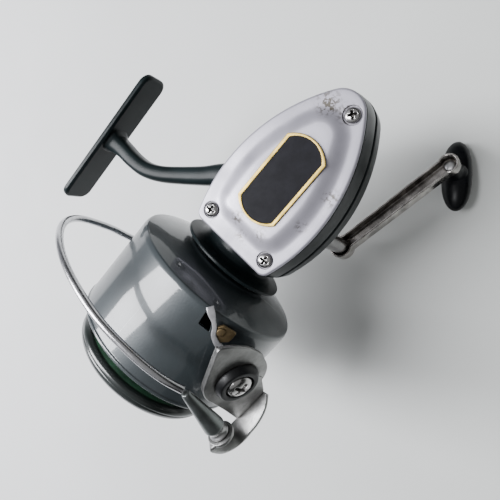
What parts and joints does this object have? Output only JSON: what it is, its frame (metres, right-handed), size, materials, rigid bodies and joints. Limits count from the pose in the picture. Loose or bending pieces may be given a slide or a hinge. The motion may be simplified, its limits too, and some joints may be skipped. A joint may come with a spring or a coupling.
{
  "type": "spinning fishing reel",
  "caption": "Open-face spinning reel with a folding-bail rotor, oscillating spool, tilted crank with a paddle knob, and a flat foot on a bent stem.",
  "frame": {"origin": "centre of the foot's flat seat face", "axes": "+X forward along the rotor axis towards the spool, +Y from the foot towards the reel body, +Z out of the badge side; the crank is on the -Z side"},
  "size_m": [0.1689, 0.1287, 0.1291],
  "materials": {
    "gear_housing": "gloss",
    "side_plate": "satin",
    "name_badge": "satin",
    "plate_screw_rear": "polished, slightly worn",
    "plate_screw_upper": "polished, slightly worn",
    "plate_screw_lower": "polished, slightly worn",
    "neck_bearing": "sintered",
    "crank_bushing": "sintered",
    "slider_guide_rod": "turned",
    "pawl_stud": "turned",
    "drive_gear": "die cast",
    "crank_shaft": "turned",
    "anti_reverse_ratchet": "turned",
    "crank_hub": "polished, slightly worn",
    "crank_arm": "polished, slightly worn",
    "crank_arm_screw": "polished, slightly worn",
    "knob_pin": "turned",
    "handle_knob": "gloss",
    "anti_reverse_lever": "polished, slightly worn",
    "anti_reverse_pawl": "turned",
    "rotor_cup": "gloss metallic",
    "pinion_gear": "turned",
    "rotor_nut": "turned",
    "trip_lever_rivet": "sintered",
    "bail_spring": "turned",
    "bail_bushing_near": "gloss",
    "bail_bushing_far": "gloss",
    "bail_screw_near": "polished, slightly worn",
    "bail_screw_far": "polished, slightly worn",
    "bail_trip_lever": "polished, slightly worn",
    "bail_arm_near": "polished, slightly worn",
    "bail_arm_far": "polished, slightly worn",
    "bail_wire": "polished, slightly worn",
    "bail_cone": "polished, slightly worn",
    "roller_screw": "turned",
    "line_roller": "turned",
    "spool_shaft": "turned",
    "oscillation_slider": "turned",
    "click_wheel": "die cast",
    "drag_disc_inner": "turned",
    "drag_disc_outer": "turned",
    "drag_spring": "turned",
    "spool": "gloss",
    "line_winding": "wound",
    "click_pawl": "turned",
    "drag_felt_inner": "pressed felt",
    "drag_felt_outer": "pressed felt",
    "drag_knob": "gloss"
  },
  "bodies": {
    "frame": {"gear_housing": "gear_housing", "side_plate": "side_plate", "name_badge": "name_badge", "plate_screw_rear": "plate_screw_rear", "plate_screw_upper": "plate_screw_upper", "plate_screw_lower": "plate_screw_lower", "neck_bearing": "neck_bearing", "crank_bushing": "crank_bushing", "slider_guide_rod": "slider_guide_rod", "pawl_stud": "pawl_stud"},
    "crank": {"drive_gear": "drive_gear", "crank_shaft": "crank_shaft", "anti_reverse_ratchet": "anti_reverse_ratchet", "crank_hub": "crank_hub", "crank_arm": "crank_arm", "crank_arm_screw": "crank_arm_screw", "knob_pin": "knob_pin"},
    "knob": {"handle_knob": "handle_knob"},
    "reverse_lever": {"anti_reverse_lever": "anti_reverse_lever"},
    "reverse_pawl": {"anti_reverse_pawl": "anti_reverse_pawl"},
    "rotor": {"rotor_cup": "rotor_cup", "pinion_gear": "pinion_gear", "rotor_nut": "rotor_nut", "trip_lever_rivet": "trip_lever_rivet", "bail_spring": "bail_spring", "bail_bushing_near": "bail_bushing_near", "bail_bushing_far": "bail_bushing_far", "bail_screw_near": "bail_screw_near", "bail_screw_far": "bail_screw_far"},
    "trip_lever": {"bail_trip_lever": "bail_trip_lever"},
    "bail": {"bail_arm_near": "bail_arm_near", "bail_arm_far": "bail_arm_far", "bail_wire": "bail_wire", "bail_cone": "bail_cone", "roller_screw": "roller_screw"},
    "roller": {"line_roller": "line_roller"},
    "shaft": {"spool_shaft": "spool_shaft", "oscillation_slider": "oscillation_slider", "click_wheel": "click_wheel", "drag_disc_inner": "drag_disc_inner", "drag_disc_outer": "drag_disc_outer", "drag_spring": "drag_spring"},
    "spool": {"spool": "spool", "line_winding": "line_winding", "click_pawl": "click_pawl", "drag_felt_inner": "drag_felt_inner", "drag_felt_outer": "drag_felt_outer"},
    "drag_knob": {"drag_knob": "drag_knob"}
  },
  "joints": [
    {"name": "crank_spin", "type": "hinge", "parent": "frame", "child": "crank", "pos_m": [-0.0248, 0.076, 0], "axis": [0, -0.3746, 0.9272], "continuous": true},
    {"name": "knob_spin", "type": "hinge", "parent": "crank", "child": "knob", "pos_m": [-0.08486, 0.08642, 0.00421], "axis": [0, -0.3746, 0.9272], "continuous": true},
    {"name": "rotor_spin", "type": "hinge", "parent": "frame", "child": "rotor", "pos_m": [-0.007, 0.076, 0], "axis": [1, 0, 0], "continuous": true},
    {"name": "bail_flip", "type": "hinge", "parent": "rotor", "child": "bail", "pos_m": [0.026, 0.076, 0], "axis": [0, 0.8572, 0.515], "range_deg": [-20, 45]},
    {"name": "roller_spin", "type": "hinge", "parent": "bail", "child": "roller", "pos_m": [0.0423, 0.11946, 0.02553], "axis": [-0.391, -0.6875, 0.612], "continuous": true},
    {"name": "trip_lever_rock", "type": "hinge", "parent": "rotor", "child": "trip_lever", "pos_m": [0.0126, 0.09697, 0.03169], "axis": [0, 0.5519, 0.8339], "range_deg": [-4, 4], "stiffness_Nm_per_rad": 0.02},
    {"name": "spool_oscillation", "type": "slide", "parent": "frame", "child": "shaft", "axis": [1, 0, 0], "range_m": [0, 0.013]},
    {"name": "spool_drag", "type": "hinge", "parent": "shaft", "child": "spool", "pos_m": [-0.007, 0.076, 0], "axis": [1, 0, 0], "continuous": true},
    {"name": "drag_turn", "type": "hinge", "parent": "shaft", "child": "drag_knob", "pos_m": [-0.007, 0.076, 0], "axis": [1, 0, 0], "range_deg": [-360, 360]},
    {"name": "reverse_lever_turn", "type": "hinge", "parent": "frame", "child": "reverse_lever", "pos_m": [-0.055, 0.073, -0.02], "axis": [0, 0, 1], "range_deg": [0, 45]},
    {"name": "reverse_pawl_lift", "type": "hinge", "parent": "frame", "child": "reverse_pawl", "pos_m": [-0.0424, 0.07515, -0.01178], "axis": [0, -0.3746, 0.9272], "range_deg": [0, 20]}
  ],
  "couplings": [
    {"joint": "rotor_spin", "follows": "crank_spin", "ratio": 3.5},
    {"joint": "reverse_pawl_lift", "follows": "reverse_lever_turn", "ratio": 0.4}
  ]
}
